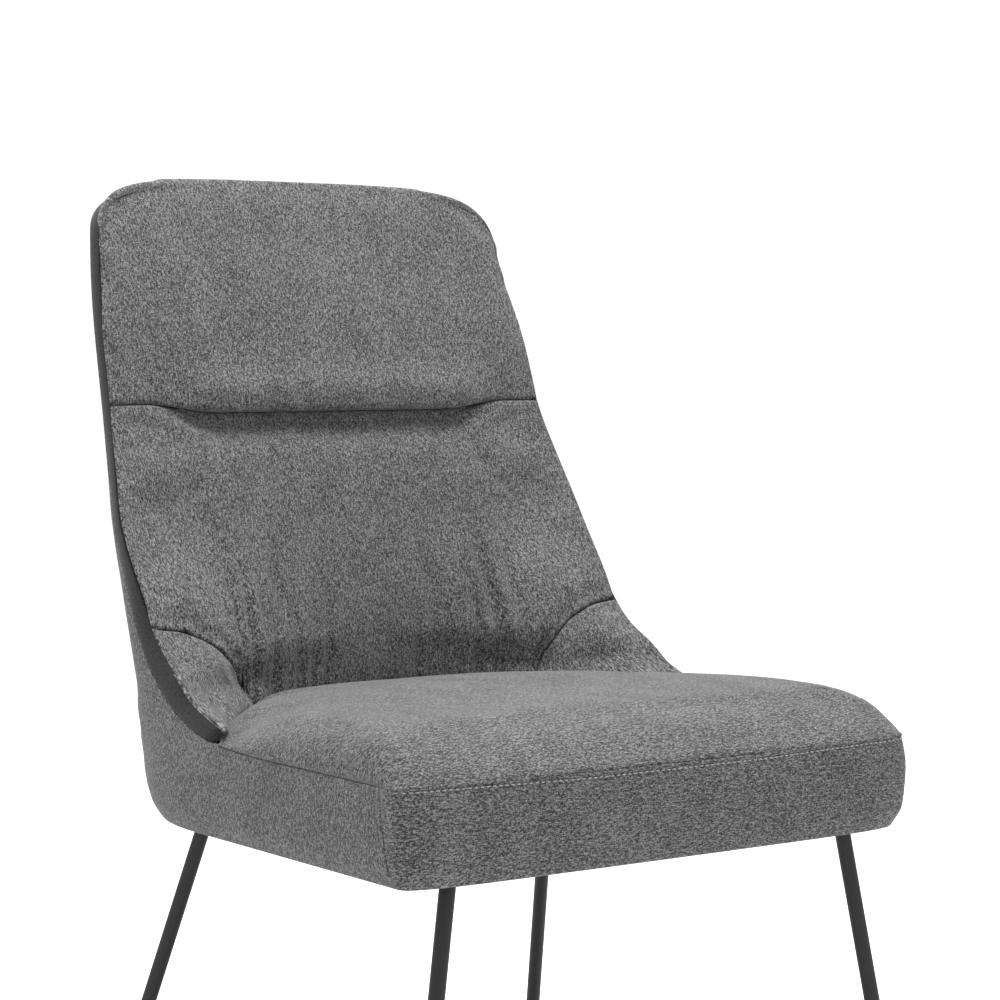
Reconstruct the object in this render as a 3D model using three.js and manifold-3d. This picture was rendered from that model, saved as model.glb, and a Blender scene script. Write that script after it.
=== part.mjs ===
// Upholstered dining chair: a tub-shaped plywood back and a timber seat frame, padded and covered in
// fabric, on four splayed round steel legs. Millimetres, +Z up. The chair faces -Y and +X is on the
// right of someone looking at its front. While it is built, y = 0 is the line through the front bottom
// corners of the seat; the last lines move the origin to the floor under the middle of the chair.
import * as THREE from "three";
import { mergeVertices } from "three/addons/utils/BufferGeometryUtils.js";
import Module from "manifold-3d";

const wasm = await Module();
wasm.setup();

// Driving dimensions
const seatBottom = 360; // lowest edge of the covers above the floor
const sideSeam = 436; // seam between the seat's boxing and the top of its cushion
const seatCrown = 472; // highest point of the cushion
const backTop = 901; // top of the backrest
const topCorner = 62; // how far the top edge drops at its round corners
const tuckHeight = 700; // seam that divides the front of the backrest
const coverThickness = 5; // fabric with its backing
const bandThickness = 3; // contrasting strip round the edge of the back
const shellThickness = 10; // bent plywood of the back
const gap = 0.4; // clearance between neighbouring flat pieces
const shellRoom = 3.2; // clearance between the curved shell and the covers and padding over it
const frameBottom = 366.5; // underside of the timber frame
const railTop = 415;
const railThickness = 24;
const boardTop = 424; // top of the plywood seat board
const legDiameter = 12.7;
const plateThickness = 3;
const dustThickness = 0.8;
const glideHeight = 8;

// Half width of the body against height, and where the side covers meet the rear cover in side view.
const halfWidth = [
  [360, 240],
  [372, 245],
  [390, 249],
  [412, 250],
  [436, 247.5],
  [484, 247],
  [522, 243.5],
  [552, 240.5],
  [600, 236.5],
  [649, 230],
  [700, 224.5],
  [760, 221],
  [811, 215],
  [854, 209.5],
  [901, 203],
];
const rearPanelSeam = [
  [392, 350],
  [392, 360],
  [402, 380],
  [408, 420],
  [414, 455],
  [432, 510],
  [450, 560],
  [463, 610],
  [466, 655],
];
// [z, x, y] of the seam in front of the strip, and [z, y] of the strip's rear edge, on each side.
const frontSeam = [
  [452, 247, 247],
  [458, 247, 268],
  [469, 247, 298],
  [484, 246.5, 320],
  [502, 244, 350],
  [522, 242.5, 370],
  [552, 242, 391],
  [600, 239, 421],
  [649, 231.5, 445],
  [700, 224.5, 466],
  [760, 220, 485],
  [811, 214, 504],
  [854, 208, 516],
  [901, 202, 528],
];
const rearSeam = [
  [440, 262],
  [448, 290],
  [460, 318],
  [474, 338],
  [488, 355],
  [504, 371],
  [522, 387],
  [552, 409],
  [600, 439],
  [649, 463],
  [700, 484],
  [760, 503],
  [811, 522],
  [854, 534],
  [901, 546],
];
// [z, how much lower the strip's rear edge lies than the front edge beside it]
const stripDrop = [
  [452, 12],
  [501, 9],
  [600, 7.8],
  [700, 5.2],
  [811, 4.2],
  [901, 6],
];
// [y, z] of the top edge of the side covers, beside the cushion.
const sideCoverTop = [
  [170, 436],
  [225, 437.5],
  [262, 440],
];
// [z, y] on the middle plane: outside of the rear cover, face of the back's padding, front cover.
const rearMiddle = [
  [360, 434],
  [368, 449],
  [381, 460],
  [400, 467],
  [440, 470],
  [520, 476],
  [600, 489],
  [700, 511],
  [800, 540],
  [901, 566],
];
const faceMiddle = [
  [424, 408],
  [460, 410],
  [500, 415],
  [560, 431],
  [620, 450],
  [700, 474],
  [760, 492],
  [811, 511],
  [854, 528],
  [901, 543],
];
const frontMiddle = [
  [360, -11],
  [368, -17],
  [388, -20],
  [413, -21],
  [436, -15],
];
// [z, y] where the front cover ends on the sides of the seat.
const frontEnd = [
  [360, 12],
  [388, 6],
  [413, 10],
  [436, 17],
];
// [z, power] of the corners in plan: outside of the tub, face of the back, front of the seat. A low
// power gives a wide round corner, a high one a tight corner.
const rearPower = [
  [360, 3.7],
  [374, 3.6],
  [410, 3.6],
  [436, 3.9],
  [470, 2.9],
  [504, 2.5],
  [600, 2.3],
];
const facePower = [
  [440, 3.6],
  [460, 3.2],
  [480, 2.5],
  [491, 1.8],
  [502, 1.4],
  [530, 1.5],
  [570, 1.9],
  [620, 2.2],
];
const frontPower = [
  [360, 4.2],
  [372, 6],
  [436, 6.5],
];
// [x, z] seen from the front: seam between the lower back and the wing.
const wingSeam = [
  [148, 424],
  [150, 440],
  [152, 458],
  [158, 470],
  [163, 480],
  [171, 491],
  [180, 500],
  [189, 507],
  [201, 513],
  [218, 519],
  [238, 522],
  [262, 524],
];
const ridgeHeight = 14; // how far the back stands forward where the wings meet it

const group = new THREE.Group();
const materials = {
  fabric: [0x6b6b6b, 1, 0],
  darkFabric: [0x333333, 1, 0],
  foam: [0xd8cfa8, 1, 0],
  wood: [0xb48a56, 0.8, 0],
  lining: [0x1b1b1b, 1, 0],
  steel: [0x232323, 0.55, 0.6],
  zinc: [0xb4b4b0, 0.4, 1],
  plastic: [0x141414, 0.6, 0],
};

function lerp(a, b, t) {
  return a + (b - a) * t;
}

function smooth(t) {
  const c = Math.min(1, Math.max(0, t));
  return c * c * (3 - 2 * c);
}

// A column of rows that start with their height, read at z along a curve that never overshoots.
function at(rows, z, column = 1) {
  const last = rows.length - 1;
  if (z <= rows[0][0]) return rows[0][column];
  if (z >= rows[last][0]) return rows[last][column];
  const i = rows.findIndex((row) => row[0] > z) - 1;
  const step = (k) => (rows[k + 1][column] - rows[k][column]) / (rows[k + 1][0] - rows[k][0]);
  const slope = (k) => {
    if (k === 0) return step(0);
    if (k === last) return step(last - 1);
    const [a, b] = [step(k - 1), step(k)];
    return a * b <= 0 ? 0 : (2 * a * b) / (a + b);
  };
  const h = rows[i + 1][0] - rows[i][0];
  const t = (z - rows[i][0]) / h;
  return (
    (2 * t ** 3 - 3 * t ** 2 + 1) * rows[i][column] +
    (t ** 3 - 2 * t ** 2 + t) * slope(i) * h +
    (3 * t ** 2 - 2 * t ** 3) * rows[i + 1][column] +
    (t ** 3 - t ** 2) * slope(i + 1) * h
  );
}

// A point of a quarter-round plan from the middle (angle 0) to its end at half width w, and the same
// curve moved square to itself by an inset; power makes its corner tighter.
function planPoint(angle, w, end, middle, power) {
  const [s, c] = [Math.sin(angle), Math.cos(angle)];
  const r = (Math.abs(s) ** power + Math.abs(c) ** power) ** (-1 / power);
  return [w * r * s, end + (middle - end) * r * c];
}

function insetPoint(angle, w, end, middle, power, inset) {
  const step = 0.01;
  const limit = Math.PI / 2;
  const a = planPoint(Math.max(-limit, angle - step), w, end, middle, power);
  const b = planPoint(Math.min(limit, angle + step), w, end, middle, power);
  const [x, y] = planPoint(angle, w, end, middle, power);
  const length = Math.hypot(b[0] - a[0], b[1] - a[1]);
  const side = Math.sign(middle - end);
  return [
    x + (side * (b[1] - a[1]) * inset) / length,
    y - (side * (b[0] - a[0]) * inset) / length,
  ];
}

// Outside of the tub at an angle and height.
function outer(angle, z, inset = 0) {
  const power = at(rearPower, z);
  return insetPoint(angle, at(halfWidth, z), at(rearSeam, z), at(rearMiddle, z), power, inset);
}

// Face of the back's padding at a share of its half width, from -1 to 1, with the ridge of its wings.
function face(share, z) {
  const [edge, middle] = [at(frontSeam, z, 2), at(faceMiddle, z)];
  const size = Math.abs(share);
  const x = share * (at(frontSeam, z, 1) - bandThickness - gap);
  const upright = smooth((z - 480) / 35) * (1 - smooth((z - 525) / 75));
  const across = smooth((size - 0.3) / 0.45) * (1 - smooth((size - 0.82) / 0.18));
  const hollow = (middle - edge) * (1 - size ** at(facePower, z));
  return [x, edge + hollow - ridgeHeight * upright * across];
}

function topAt(share) {
  return backTop - topCorner * (1 - (1 - Math.min(1, Math.abs(share)) ** 4) ** 0.25);
}

// A box whose points are moved by place(a, b, c): a to the right, b to the back, c up, all 0 to 1.
function mapped(na, nb, nc, place) {
  const geometry = new THREE.BoxGeometry(1, 1, 1, na, nb, nc).translate(0.5, 0.5, 0.5);
  const position = geometry.getAttribute("position");
  for (let i = 0; i < position.count; i++) {
    position.setXYZ(i, ...place(position.getX(i), position.getY(i), position.getZ(i)));
  }
  return geometry;
}

function box(x0, x1, y0, y1, z0, z1) {
  return mapped(1, 1, 1, (a, b, c) => [lerp(x0, x1, a), lerp(y0, y1, b), lerp(z0, z1, c)]);
}

// A prism over an outline: standing on it from z0 to z1, or seen from the side or from the front.
function prism(points, z0, z1) {
  const shape = new THREE.Shape(points.map(([u, v]) => new THREE.Vector2(u, v)));
  return new THREE.ExtrudeGeometry(shape, { depth: z1 - z0, bevelEnabled: false }).translate(0, 0, z0);
}

function sidePrism(points, x0, x1) {
  return prism(points, x0, x1).applyMatrix4(
    new THREE.Matrix4().set(0, 0, 1, 0, 1, 0, 0, 0, 0, 1, 0, 0, 0, 0, 0, 1),
  );
}

const roomFront = -100;
const roomBack = 700;
function frontPrism(points) {
  return prism(points, -roomBack, -roomFront).rotateX(Math.PI / 2);
}

function solid(geometry) {
  const bare = geometry.clone();
  bare.deleteAttribute("normal");
  bare.deleteAttribute("uv");
  const merged = mergeVertices(bare, 1e-4);
  return new wasm.Manifold(
    new wasm.Mesh({
      numProp: 3,
      vertProperties: merged.getAttribute("position").array,
      triVerts: new Uint32Array(merged.index.array),
    }),
  );
}

function geometryOf(manifold) {
  const mesh = manifold.getMesh();
  const geometry = new THREE.BufferGeometry();
  geometry.setAttribute("position", new THREE.BufferAttribute(mesh.vertProperties, 3));
  geometry.setIndex(new THREE.BufferAttribute(mesh.triVerts, 1));
  return geometry;
}

function cut(geometry, tools) {
  return geometryOf(tools.reduce((body, tool) => body.subtract(solid(tool)), solid(geometry)));
}

function common(...geometries) {
  return geometryOf(geometries.map(solid).reduce((body, other) => body.intersect(other)));
}

function mirrored(geometry) {
  return geometryOf(solid(geometry).mirror([1, 0, 0]));
}

function add(name, geometry, material) {
  const [color, roughness, metalness] = materials[material];
  const mesh = new THREE.Mesh(
    geometry,
    new THREE.MeshStandardMaterial({ color, roughness, metalness }),
  );
  mesh.name = name;
  group.add(mesh);
}

// The right-hand piece and its mirror image.
function addPair(name, geometry, material) {
  add(`${name}_right`, geometryOf(solid(geometry)), material);
  add(`${name}_left`, mirrored(geometry), material);
}

// Covers: the strip of fabric round the body, from one front corner by the rear to the other.

const shellHeights = [384, 397, 412, 436, 452, 470, 487, 504, 528, 560, 600, 649, 700, 760, 811, 860, 901];
const coverHeights = [360, 364, 370, 376, ...shellHeights];
const sideShare = 0.1; // share of this strip that is the straight side of the seat
const edgeRoom = 1.8; // clearance between the covers and the contrasting strip

function bodyCover() {
  const rows = coverHeights.length - 1;
  return mapped(40, 1, rows, (a, b, c) => {
    const z = coverHeights[Math.round(c * rows)];
    const inset = (1 - b) * coverThickness;
    const t = a * 2 - 1;
    const round = Math.min(1, Math.abs(t) / (1 - sideShare));
    const [x, y] = outer((Math.sign(t) * round * Math.PI) / 2, z, inset);
    const straight = Math.max(0, (Math.abs(t) - 1 + sideShare) / sideShare);
    return [x, lerp(y, 0, straight), z];
  });
}

// Side view of a side cover: forward of the rear seam, behind the front cover, under the strip.
const coversMeet = rearPanelSeam.at(-1)[1]; // height at which the rear seam reaches the strip
function sideOutline() {
  const bottom = frontEnd.map(([z, y]) => [y + gap, z]);
  const strip = rearSeam.filter(([z]) => z < coversMeet).map(([z, y]) => [y + edgeRoom, z]);
  return [[12, 350], ...bottom, ...sideCoverTop.slice(0, 2), ...strip, ...[...rearPanelSeam].reverse()];
}

const strip = bodyCover();
addPair("side_cover", common(strip, sidePrism(sideOutline(), 1, 300)), "fabric");

// The rear cover keeps what lies behind that seam and behind the strip, under the rounded top.
function rearOutline() {
  const seam = rearPanelSeam.map(([y, z]) => [y + gap, z]);
  const edge = rearSeam.filter(([z]) => z > coversMeet).map(([z, y]) => [y + edgeRoom, z]);
  return [...seam, ...edge, [551, 920], [roomBack, 920], [roomBack, 350]];
}

function topOutline(drop) {
  const steps = 24;
  const points = [[300, 340], [300, topAt(1) - drop]];
  for (let i = 0; i <= steps; i++) {
    const share = Math.cos((i / steps) * Math.PI);
    points.push([share * at(halfWidth, topAt(share)), topAt(share) - drop]);
  }
  return [...points, [-300, topAt(1) - drop], [-300, 340]];
}

add("rear_cover", common(strip, sidePrism(rearOutline(), -300, 300), frontPrism(topOutline(14))), "fabric");

function frontPoint(angle, z, inset) {
  const power = at(frontPower, z);
  return insetPoint(angle, at(halfWidth, z), at(frontEnd, z), at(frontMiddle, z), power, inset);
}

add(
  "front_cover",
  mapped(28, 1, 6, (a, b, c) => {
    const z = lerp(seatBottom, sideSeam - gap, c);
    return [...frontPoint((a - 0.5) * Math.PI, z, b * coverThickness), z];
  }),
  "fabric",
);

// Seat cushion: its upper part reaches out over the covers, its lower part fits inside them.

const cushionHalf = 246.8;
const cushionInset = 5.8;

function cushionEdges(share, inset) {
  const x = share * (cushionHalf - inset);
  const power = at(frontPower, sideSeam);
  const bulge = at(frontEnd, sideSeam) - at(frontMiddle, sideSeam) - inset;
  const front = at(frontEnd, sideSeam) - bulge * (1 - Math.abs(share) ** power) ** (1 / power);
  const back = face(x / (cushionHalf - bandThickness), boardTop)[1] - 2.5;
  return [x, front, Math.abs(share) > 0.985 ? Math.min(back, 246.4) : back];
}

add(
  "seat_cushion",
  mapped(20, 11, 4, (a, b, c) => {
    const share = Math.sin((a - 0.5) * Math.PI);
    const inset = c < 0.3 ? cushionInset : 0;
    const [x, front, back] = cushionEdges(share, inset);
    const y = lerp(front, back, b ** 1.2);
    const ledge = at(sideCoverTop, y) + gap;
    const side = Math.sqrt(1 - Math.abs(share) ** 6);
    const fore = 1 - (1 - Math.min(1, (y - front) / 90)) ** 2.6;
    const rear = 1 - 0.45 * smooth((b - 0.7) / 0.3);
    const top = 443 + (seatCrown - 443) * side * fore * rear;
    if (c < 0.1) return [x, y, boardTop + gap];
    if (c < 0.3) return [x, y, ledge];
    return [x, y, lerp(ledge + gap, top, c * 2 - 1)];
  }),
  "foam",
);

// Padding of the back, cut into an upper and a lower part and two wings.

const padBottom = boardTop + gap;
const lowerShellEdge = (74.5 * Math.PI) / 180; // angles at which the bent plywood ends
const upperShellEdge = (64 * Math.PI) / 180;
const shellInset = coverThickness + shellRoom;

const padding = mapped(32, 1, 18, (a, b, c) => {
  const t = a * 2 - 1;
  const share = Math.sin((t * Math.PI) / 2);
  const drop = bandThickness + edgeRoom + b * 7 * (1 - Math.abs(share) ** 8);
  const z = lerp(padBottom, topAt(share) - drop, c ** 1.25);
  const beyondShell = smooth((Math.abs(t) - 0.92) / 0.07);
  const inset = coverThickness + shellRoom + (shellThickness + 2) * (1 - beyondShell);
  const front = face(share, z);
  if (z < frontSeam[0][0]) {
    const room = at(halfWidth, z) - coverThickness - edgeRoom;
    front[0] = Math.max(-room, Math.min(room, front[0]));
  }
  const rear = outer((t * Math.PI) / 2, z, inset);
  return [lerp(front[0], rear[0], b), lerp(front[1], rear[1], b), z];
});

function wingOutline(shrink) {
  const seam = wingSeam.map(([x, z]) => [x + shrink, z - shrink]);
  return [[wingSeam[0][0] + shrink, 400], ...seam, [300, wingSeam.at(-1)[1] - shrink], [300, 400]];
}

const wingRight = frontPrism(wingOutline(gap / 2));
const wingRoomRight = frontPrism(wingOutline(-gap / 2));
const aboveTuck = box(-300, 300, roomFront, roomBack, tuckHeight + gap / 2, 950);
const belowTuck = box(-300, 300, roomFront, roomBack, 400, tuckHeight - gap / 2);
add("upper_back_pad", common(padding, aboveTuck), "foam");
add(
  "lower_back_pad",
  cut(common(padding, belowTuck), [wingRoomRight, mirrored(wingRoomRight)]),
  "foam",
);
addPair("wing_pad", common(padding, wingRight), "foam");

const boltHeight = 394;
const boltSpacing = 80;
const boltRadius = 3;
const boltHole = new THREE.CylinderGeometry(boltRadius + gap, boltRadius + gap, 120, 16);
const boltHoles = [-boltSpacing, boltSpacing].map((x) => boltHole.clone().translate(x, 430, boltHeight));
const shellRows = shellHeights.length - 1;
const shellTaper = shellHeights.at(-3); // above this the rows close up under the round corners
const shell = mapped(26, 1, shellRows, (a, b, c) => {
  const t = a * 2 - 1;
  const height = shellHeights[Math.round(c * shellRows)];
  const share = Math.max(0, (height - shellTaper) / (backTop - shellTaper));
  const z = height - share * (backTop - topAt(t * 0.93) + 13);
  const edge = lerp(lowerShellEdge, upperShellEdge, smooth((z - 500) / 180));
  return [...outer(t * edge, z, shellInset + (1 - b) * shellThickness), z];
});
add("back_shell", cut(shell, boltHoles), "wood");

// Strip round the edge of the back, from its tip beside the seat over the top to the other tip.

const sideRun = 0.44; // share of the strip that climbs each side
function stripEdges(t) {
  const run = Math.min(1, Math.max(0, (Math.abs(t) - 1 + sideRun) / sideRun));
  const share = Math.sin((Math.min(1, Math.abs(t) / (1 - sideRun)) * Math.PI) / 2) * Math.sign(t);
  const z = run > 0 ? lerp(topAt(1), frontSeam[0][0], run ** 0.85) : topAt(share);
  const x = share * at(frontSeam, z, 1);
  const front = new THREE.Vector3(x, face(share, z)[1], z);
  const rearZ = z - at(stripDrop, z);
  const angle = Math.atan2(Math.abs(share), (1 - Math.abs(share) ** 2.3) ** (1 / 2.3)) * Math.sign(t);
  const [rearX, rearY] = outer(angle, rearZ);
  return [front, new THREE.Vector3(rearX, rearY, rearZ)];
}

add(
  "border_strip",
  mapped(88, 1, 1, (a, b, c) => {
    const t = a * 2 - 1;
    const [front, rear] = stripEdges(t);
    const ahead = stripEdges(Math.min(1, t + 0.01))[0];
    const behind = stripEdges(Math.max(-1, t - 0.01))[0];
    const normal = ahead.sub(behind).cross(rear.clone().sub(front)).normalize();
    const point = front.lerp(rear, b).addScaledVector(normal, (c - 1) * bandThickness);
    return point.toArray();
  }),
  "darkFabric",
);

// Timber frame

const railFront = 14.4;
const railOuter = 223.5;
const railInner = railOuter - railThickness;
const backRailRear = 430;

function boardOutline() {
  const halfBoard = railOuter - 0.5;
  const points = [[-halfBoard, railFront], [halfBoard, railFront]];
  for (let degrees = 75; degrees >= -75; degrees -= 10) {
    const [x, y] = outer((degrees * Math.PI) / 180, railTop, shellInset + shellThickness + 2);
    points.push([Math.sign(x) * Math.min(Math.abs(x), halfBoard), y]);
  }
  return points;
}

const screwHole = new THREE.CylinderGeometry(2.4, 2.4, 60, 12).rotateX(Math.PI / 2);
const frontScrews = [
  [152, 27],
  [186, 27],
  [186, 53],
];
const rearScrews = [
  [183, 340],
  [160, 360],
  [150, 385],
];
const holesAt = (spots) => spots.map(([x, y]) => screwHole.clone().translate(x, y, 357));
const bothSides = (tools) => [...tools, ...tools.map(mirrored)];

add("seat_board", prism(boardOutline(), railTop + gap, boardTop), "wood");
add(
  "front_rail",
  cut(
    box(-railOuter, railOuter, railFront, railFront + railThickness, frameBottom, railTop),
    bothSides(holesAt(frontScrews.slice(0, 2))),
  ),
  "wood",
);
add(
  "back_rail",
  cut(box(-150, 150, backRailRear - railThickness, backRailRear, frameBottom, railTop), boltHoles),
  "wood",
);
const sideRail = box(railInner, railOuter, railFront + railThickness + gap, 345, frameBottom, railTop);
addPair("side_rail", sideRail, "wood");
add(
  "shell_spacer",
  cut(
    mapped(8, 1, 2, (a, b, c) => {
      const z = lerp(shellHeights[0] + 2, 412, c);
      const x = lerp(-120, 120, a);
      const angle = Math.atan2(x, 200);
      const rear = outer(angle, z, shellInset + shellThickness + shellRoom)[1];
      return [x, lerp(backRailRear + gap, rear, b), z];
    }),
    boltHoles,
  ),
  "wood",
);

const blockFront = railFront + railThickness + gap;
const blockSide = railInner - gap;
const frontBlock = prism([[150, blockFront], [blockSide, blockFront], [blockSide, 88]], frameBottom, 405);
addPair("front_block", cut(frontBlock, holesAt(frontScrews.slice(2))), "wood");
const rearBlock = prism(
  [
    [blockSide, 290],
    [blockSide, 345.4],
    [216, 345.4],
    [206, 376],
    [184, 402],
    [150.4, 416],
    [150.4, 405.6],
    [112, 405.6],
  ],
  frameBottom,
  405,
);
addPair("rear_block", cut(rearBlock, holesAt(rearScrews)), "wood");

// Padding behind the covers of the seat's front and sides

const frontPadHalf = 222;
add(
  "front_pad",
  mapped(16, 1, 4, (a, b, c) => {
    const t = a * 2 - 1;
    const z = lerp(frameBottom + 4, boardTop, c);
    const power = at(frontPower, z);
    const across = Math.abs((t * frontPadHalf) / at(halfWidth, z)) ** power;
    const cover = lerp(at(frontEnd, z), at(frontMiddle, z), (1 - across) ** (1 / power));
    const room = coverThickness + 2.5 + 5 * t * t; // more towards the corners, where the cover turns
    return [t * frontPadHalf, lerp(cover + room, railFront - gap, b), z];
  }),
  "foam",
);
const sidePadOuter = 238.8;
addPair("side_pad", box(railOuter + gap, sidePadOuter, 24, 255, 373, 423), "foam");

// Dust cover under the frame, legs with their plates, screws and glides

const dustTop = frameBottom - gap;
const plateTop = dustTop - dustThickness - gap;
const plateBottom = plateTop - plateThickness;
const dustOutline = [[-218, 18], [218, 18], [218, 330], [196, 384], [150, 414], [0, 422]];
dustOutline.push([-150, 414], [-196, 384], [-218, 330]);
add(
  "dust_cover",
  cut(
    prism(dustOutline, dustTop - dustThickness, dustTop),
    bothSides(holesAt([...frontScrews, ...rearScrews])),
  ),
  "lining",
);

const screw = new THREE.LatheGeometry(
  [
    [0, -2.3],
    [3.4, -2.3],
    [4.2, -1.5],
    [4.2, -gap],
    [2, -gap],
    [2, 22],
    [0, 24],
  ].map(([r, z]) => new THREE.Vector2(r, z)),
  10,
).rotateX(Math.PI / 2);

// Where each leg's axis meets the level of the seat's lowest edge, and how far it moves per
// millimetre of height down to the floor.
const legs = [
  {
    name: "front",
    top: [193.9, 5.6],
    lean: [0.175, -0.074],
    plate: [138, 204, -2, 64],
    screws: frontScrews,
  },
  {
    name: "rear",
    top: [178.8, 386.2],
    lean: [0.166, 0.334],
    plate: [123, 190, 326, 396],
    screws: rearScrews,
  },
];
for (const leg of legs) {
  const axisAt = (z) => leg.top.map((value, i) => value + leg.lean[i] * (seatBottom - z));
  const [[x0, y0], [x1, y1]] = [axisAt(-20), axisAt(400)];
  const axis = new THREE.Vector3(x1 - x0, y1 - y0, 420);
  const cylinder = new THREE.CylinderGeometry(legDiameter / 2, legDiameter / 2, axis.length(), 24)
    .applyQuaternion(
      new THREE.Quaternion().setFromUnitVectors(new THREE.Vector3(0, 1, 0), axis.clone().normalize()),
    )
    .translate((x0 + x1) / 2, (y0 + y1) / 2, 190);
  const room = box(-400, 400, -200, 800, glideHeight + gap, plateBottom - gap);
  addPair(`${leg.name}_leg`, common(cylinder, room), "steel");
  const plate = box(...leg.plate, plateBottom, plateTop);
  addPair(`${leg.name}_leg_plate`, cut(plate, holesAt(leg.screws)), "steel");
  leg.screws.forEach(([x, y], i) => {
    addPair(`${leg.name}_plate_screw_${i + 1}`, screw.clone().translate(x, y, plateBottom), "zinc");
  });
  const glide = new THREE.LatheGeometry(
    [
      [0, 0],
      [6.5, 0],
      [8, 1.5],
      [8, glideHeight],
      [0, glideHeight],
    ].map(([r, z]) => new THREE.Vector2(r, z)),
    24,
  ).rotateX(Math.PI / 2);
  addPair(`${leg.name}_glide`, glide.translate(...axisAt(glideHeight), 0), "plastic");
}

// Bolts that hold the plywood shell to the back rail
const bolt = new THREE.LatheGeometry(
  [
    [0, -3.4],
    [5, -3.4],
    [6, -2.4],
    [6, -gap],
    [boltRadius, -gap],
    [boltRadius, 51],
    [0, 51],
  ].map(([r, z]) => new THREE.Vector2(r, z)),
  16,
);
addPair("shell_bolt", bolt.translate(boltSpacing, backRailRear - railThickness, boltHeight), "zinc");

const bounds = new THREE.Box3().setFromObject(group);
for (const mesh of group.children) {
  mesh.geometry.translate(0, -(bounds.min.y + bounds.max.y) / 2, 0);
}

export default group;
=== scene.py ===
"""Visual model of the upholstered dining chair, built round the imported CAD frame.

Lengths are in millimetres in the chair's build frame while surfaces are laid out (y = 0 at the front
bottom corners of the seat), and in metres in the row frame once a mesh is made.
"""

import math
import random

import bpy
import numpy as np
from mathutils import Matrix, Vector


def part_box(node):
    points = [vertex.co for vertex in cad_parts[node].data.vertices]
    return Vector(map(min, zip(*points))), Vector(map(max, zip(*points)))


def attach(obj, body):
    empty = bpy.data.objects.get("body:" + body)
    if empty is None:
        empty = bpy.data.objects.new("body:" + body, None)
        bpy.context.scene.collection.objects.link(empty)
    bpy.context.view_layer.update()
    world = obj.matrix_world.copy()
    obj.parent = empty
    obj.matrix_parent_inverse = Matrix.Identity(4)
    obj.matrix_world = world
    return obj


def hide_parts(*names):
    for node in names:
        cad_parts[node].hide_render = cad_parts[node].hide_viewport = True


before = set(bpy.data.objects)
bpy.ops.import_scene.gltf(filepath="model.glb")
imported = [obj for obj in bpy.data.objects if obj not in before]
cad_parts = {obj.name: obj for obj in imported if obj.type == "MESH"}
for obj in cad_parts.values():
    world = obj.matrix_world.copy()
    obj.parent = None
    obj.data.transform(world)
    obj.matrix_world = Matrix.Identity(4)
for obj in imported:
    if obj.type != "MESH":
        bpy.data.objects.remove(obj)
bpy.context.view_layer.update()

# ---------------------------------------------------------------------------- places from the frame
front_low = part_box("front_cover")[0]
strip_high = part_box("border_strip")[1]
FRONT_BULGE = 21.0  # how far the front cover bulges ahead of y = 0
ORIGIN_Y = front_low[1] * 1000 + FRONT_BULGE
SEAT_BOTTOM = front_low[2] * 1000
TOP = strip_high[2] * 1000
SEAM = SEAT_BOTTOM + 76  # seam between the boxing and the top of the cushion
TOP_CORNER = 62.0  # how much lower the back's top is at its sides than in its middle
CROWN = 35.0  # height of the cushion's top over its seam

# ---------------------------------------------------------------------------- profiles of the body
# Each row is a height and the value at that height, except in WING_SEAM, whose rows are (x, height).
HALF_WIDTH = [(360, 240), (366, 243), (376, 247), (390, 249), (412, 250.5), (436, 249), (455, 247.5),
              (484, 247), (522, 243.5), (552, 240.5), (600, 236.5), (649, 230), (700, 224.5), (760, 221),
              (811, 215), (854, 209.5), (880, 206), (905, 202)]
FRONT_SEAM_X = [(452, 247), (469, 247), (484, 246.5), (502, 244), (522, 242.5), (552, 242), (600, 239),
                (649, 231.5), (700, 224.5), (760, 220), (811, 214), (854, 208), (905, 201)]
FRONT_SEAM_Y = [(452, 247), (458, 268), (469, 298), (484, 320), (502, 350), (522, 370), (552, 391),
                (600, 421), (649, 445), (700, 466), (760, 485), (811, 504), (854, 516), (905, 529)]
REAR_SEAM_Y = [(440, 262), (448, 294), (460, 323), (474, 343), (488, 360), (504, 376), (522, 391),
               (552, 412), (600, 440), (649, 463), (700, 484), (760, 503), (811, 522), (854, 534),
               (905, 547)]
STRIP_DROP = [(452, 12), (501, 9), (600, 7.8), (700, 5.2), (811, 4.2), (901, 6)]
REAR_MIDDLE = [(360, 434), (368, 449), (381, 460), (400, 467), (440, 470), (520, 476), (600, 489),
               (700, 511), (800, 540), (901, 566)]
FACE_MIDDLE = [(424, 408), (460, 410), (500, 415), (560, 431), (620, 450), (700, 474), (760, 492),
               (811, 511), (854, 528), (901, 543)]
FRONT_MIDDLE = [(360, -15), (368, -18), (388, -20), (413, -21.5), (436, -18)]
FRONT_END = [(360, 4), (388, 5), (413, 8), (436, 12)]
REAR_PANEL_Y = [(360, 392), (380, 402), (420, 408), (455, 414), (510, 432), (560, 450), (610, 463),
                (655, 466)]
WING_SEAM = [(148, 424), (150, 440), (152, 458), (158, 470), (163, 480), (171, 491), (180, 500),
             (189, 507), (201, 513), (218, 519), (238, 522), (247, 523)]
REAR_POWER = [(360, 3.7), (374, 3.6), (410, 3.6), (436, 3.9), (470, 2.9), (504, 2.5), (600, 2.3)]
FACE_POWER = [(440, 2.7), (460, 2.5), (480, 2.1), (491, 1.75), (502, 1.5), (530, 1.55), (570, 1.9),
              (620, 2.2)]
FRONT_POWER = [(360, 3.2), (368, 4.2), (380, 6), (436, 6.5)]
RIDGE = 9.0  # how far the back stands forward where the wings meet it
OVERHANG = 1.3  # how far the padding stands out over the band beside it
FLARE_IN = 3.5  # how far the wings' front edge leans in towards the sitter, low on the back
FLARE_FORWARD = 4.9  # how far it stands forward there
SEAT_SIDE = 12.0  # depth at which the front boxing meets the side panels
BAND_END = 449.0  # height at which the band ends, beside the seat
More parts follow.
